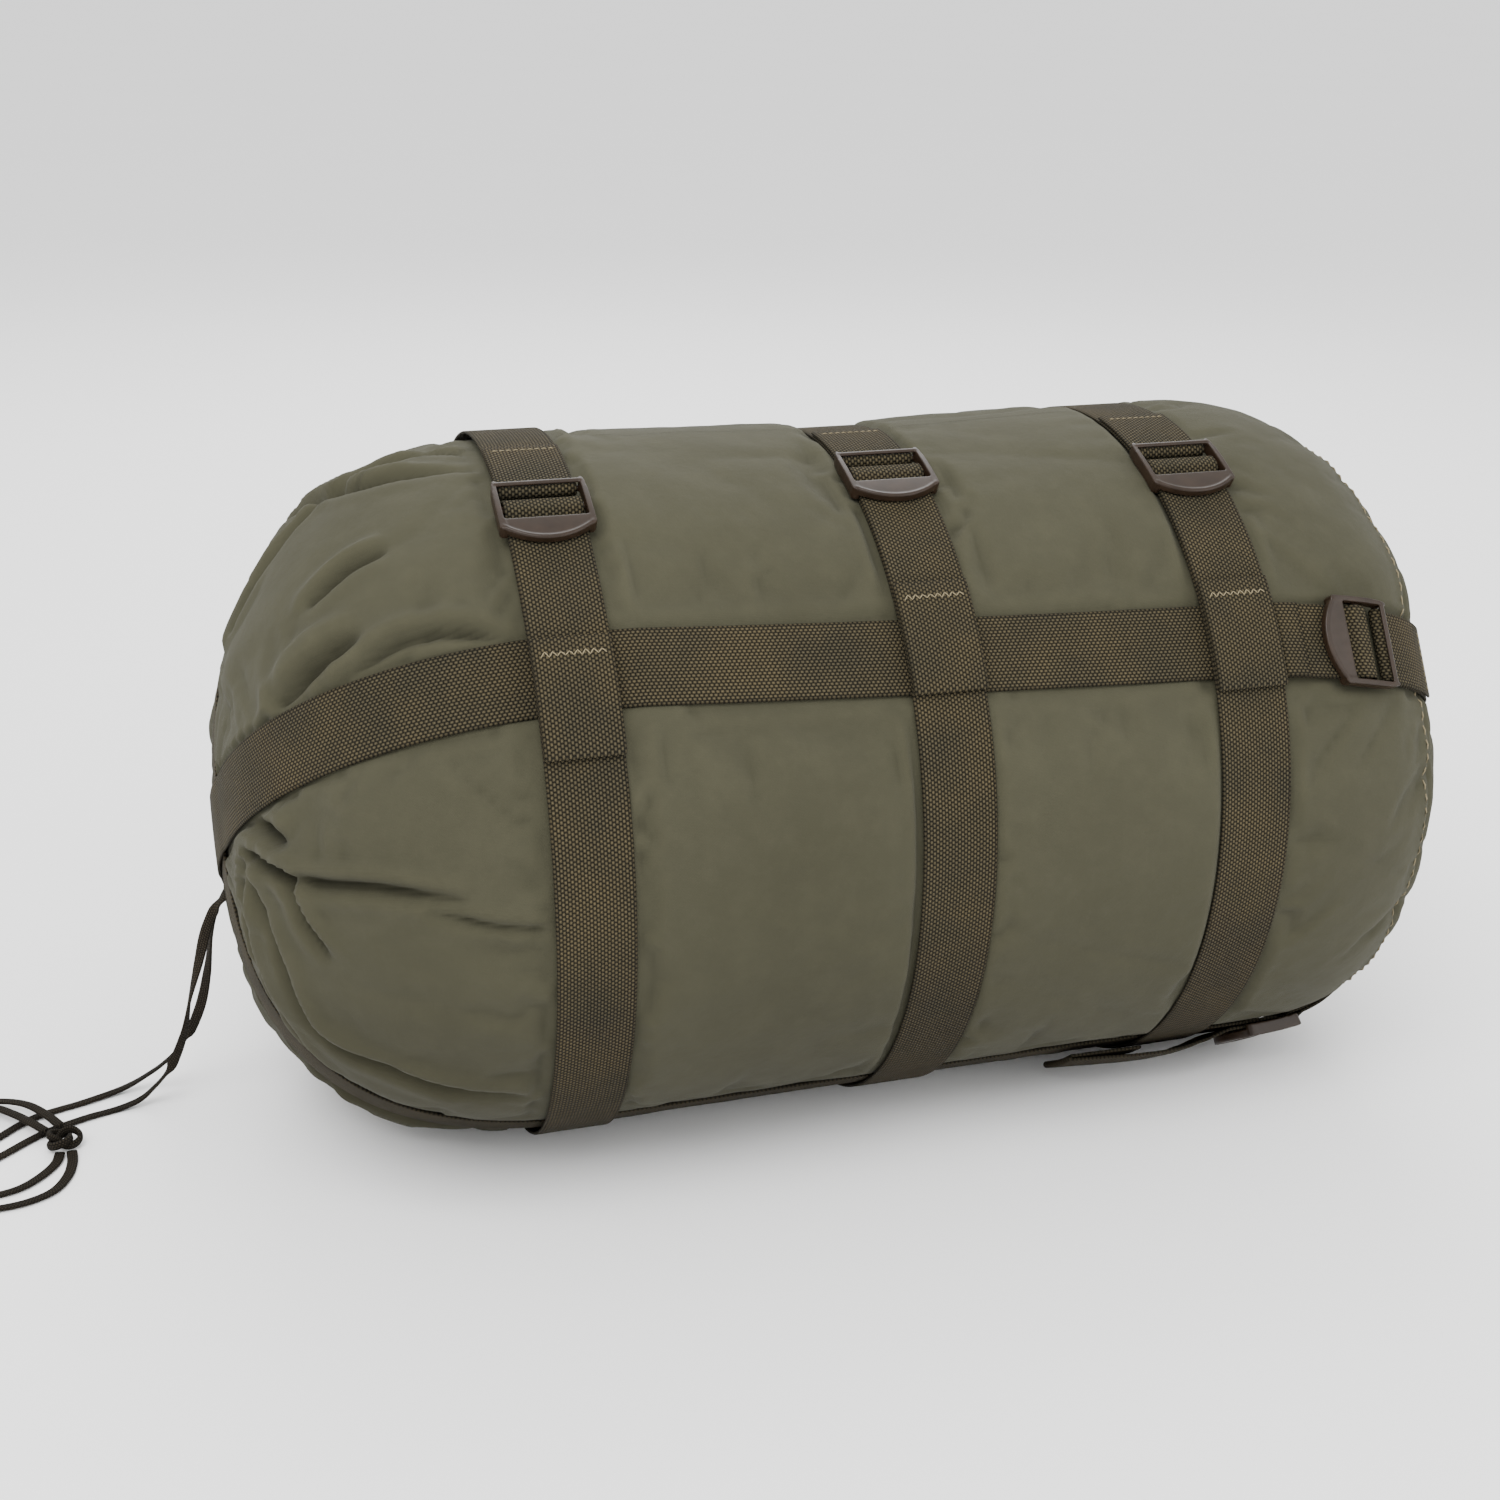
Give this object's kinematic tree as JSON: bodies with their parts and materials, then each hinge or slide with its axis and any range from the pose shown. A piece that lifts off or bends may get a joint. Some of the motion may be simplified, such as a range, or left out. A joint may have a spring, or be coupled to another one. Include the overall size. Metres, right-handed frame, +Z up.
{
  "type": "compression stuff sack",
  "caption": "Stuffed barrel-shaped fabric sack lying on its side, with girth and lengthwise webbing compression straps, ladder-lock buckles and a drawstring mouth.",
  "frame": {"origin": "on the ground under the middle of the sack as it lies on its side", "axes": "+X along the sack from the drawstring mouth to the sewn base, +Z up, -Y is the front with the buckles"},
  "size_m": [0.8317, 0.3693, 0.3645],
  "materials": {
    "sack_cloth": "matt olive-drab coated nylon cloth",
    "webbing": "coarse ribbed dark olive webbing",
    "lock_plastic": "glossy dark brown moulded plastic",
    "cord_braid": "flat braided dark olive cord",
    "stuffing": "soft quilted contents"
  },
  "bodies": {
    "root": {"filling": "stuffing", "sack_barrel": "sack_cloth", "base_panel": "sack_cloth", "mouth_hem": "sack_cloth", "hoop_1_strap": "webbing", "hoop_2_strap": "webbing", "hoop_3_strap": "webbing", "long_a_strap": "webbing", "long_b_strap": "webbing", "drawcord_front": "cord_braid", "drawcord_back": "cord_braid", "drawcord_end_upper": "cord_braid", "drawcord_end_lower": "cord_braid", "drawcord_knot": "cord_braid"},
    "hoop_1_buckle": {"hoop_1_buckle": "lock_plastic", "hoop_1_wrap": "webbing"},
    "hoop_1_tail": {"hoop_1_tail": "webbing"},
    "hoop_2_buckle": {"hoop_2_buckle": "lock_plastic", "hoop_2_wrap": "webbing"},
    "hoop_2_tail": {"hoop_2_tail": "webbing"},
    "hoop_3_buckle": {"hoop_3_buckle": "lock_plastic", "hoop_3_wrap": "webbing"},
    "hoop_3_tail": {"hoop_3_tail": "webbing"},
    "long_a_buckle": {"long_a_buckle": "lock_plastic", "long_a_wrap": "webbing"},
    "long_a_tail": {"long_a_tail": "webbing"},
    "long_b_buckle": {"long_b_buckle": "lock_plastic", "long_b_wrap": "webbing"},
    "long_b_tail": {"long_b_tail": "webbing"}
  },
  "joints": [
    {"name": "hoop_1_buckle_tilt", "type": "hinge", "parent": "root", "child": "hoop_1_buckle", "pos_m": [-0.16182, -0.06782, 0.35315], "axis": [-1, 0, 0], "range_deg": [0, 50]},
    {"name": "hoop_1_tail_lift", "type": "hinge", "parent": "hoop_1_buckle", "child": "hoop_1_tail", "pos_m": [-0.16273, -0.10268, 0.33465], "axis": [-1, 0, 0], "range_deg": [0, 85]},
    {"name": "hoop_2_buckle_tilt", "type": "hinge", "parent": "root", "child": "hoop_2_buckle", "pos_m": [0.01775, -0.04605, 0.352], "axis": [-1, 0, 0], "range_deg": [0, 50]},
    {"name": "hoop_2_tail_lift", "type": "hinge", "parent": "hoop_2_buckle", "child": "hoop_2_tail", "pos_m": [0.01755, -0.0828, 0.33761], "axis": [-1, 0, 0], "range_deg": [0, 85]},
    {"name": "hoop_3_buckle_tilt", "type": "hinge", "parent": "root", "child": "hoop_3_buckle", "pos_m": [0.1747, -0.06165, 0.35131], "axis": [-1, 0, 0], "range_deg": [0, 50]},
    {"name": "hoop_3_tail_lift", "type": "hinge", "parent": "hoop_3_buckle", "child": "hoop_3_tail", "pos_m": [0.1747, -0.09706, 0.33387], "axis": [-1, 0, 0], "range_deg": [0, 85]},
    {"name": "long_a_buckle_tilt", "type": "hinge", "parent": "root", "child": "long_a_buckle", "pos_m": [0.25593, -0.1513, 0.2661], "axis": [0, 0.5194, 0.8545], "range_deg": [0, 50]},
    {"name": "long_a_tail_lift", "type": "hinge", "parent": "long_a_buckle", "child": "long_a_tail", "pos_m": [0.21721, -0.15332, 0.27309], "axis": [0, 0.5342, 0.8454], "range_deg": [0, 85]},
    {"name": "long_b_buckle_tilt", "type": "hinge", "parent": "root", "child": "long_b_buckle", "pos_m": [0.25203, -0.09952, 0.02686], "axis": [0, -0.829, 0.5592], "range_deg": [0, 50]},
    {"name": "long_b_tail_lift", "type": "hinge", "parent": "long_b_buckle", "child": "long_b_tail", "pos_m": [0.21321, -0.10149, 0.0259], "axis": [0, -0.829, 0.5592], "range_deg": [0, 70]}
  ]
}
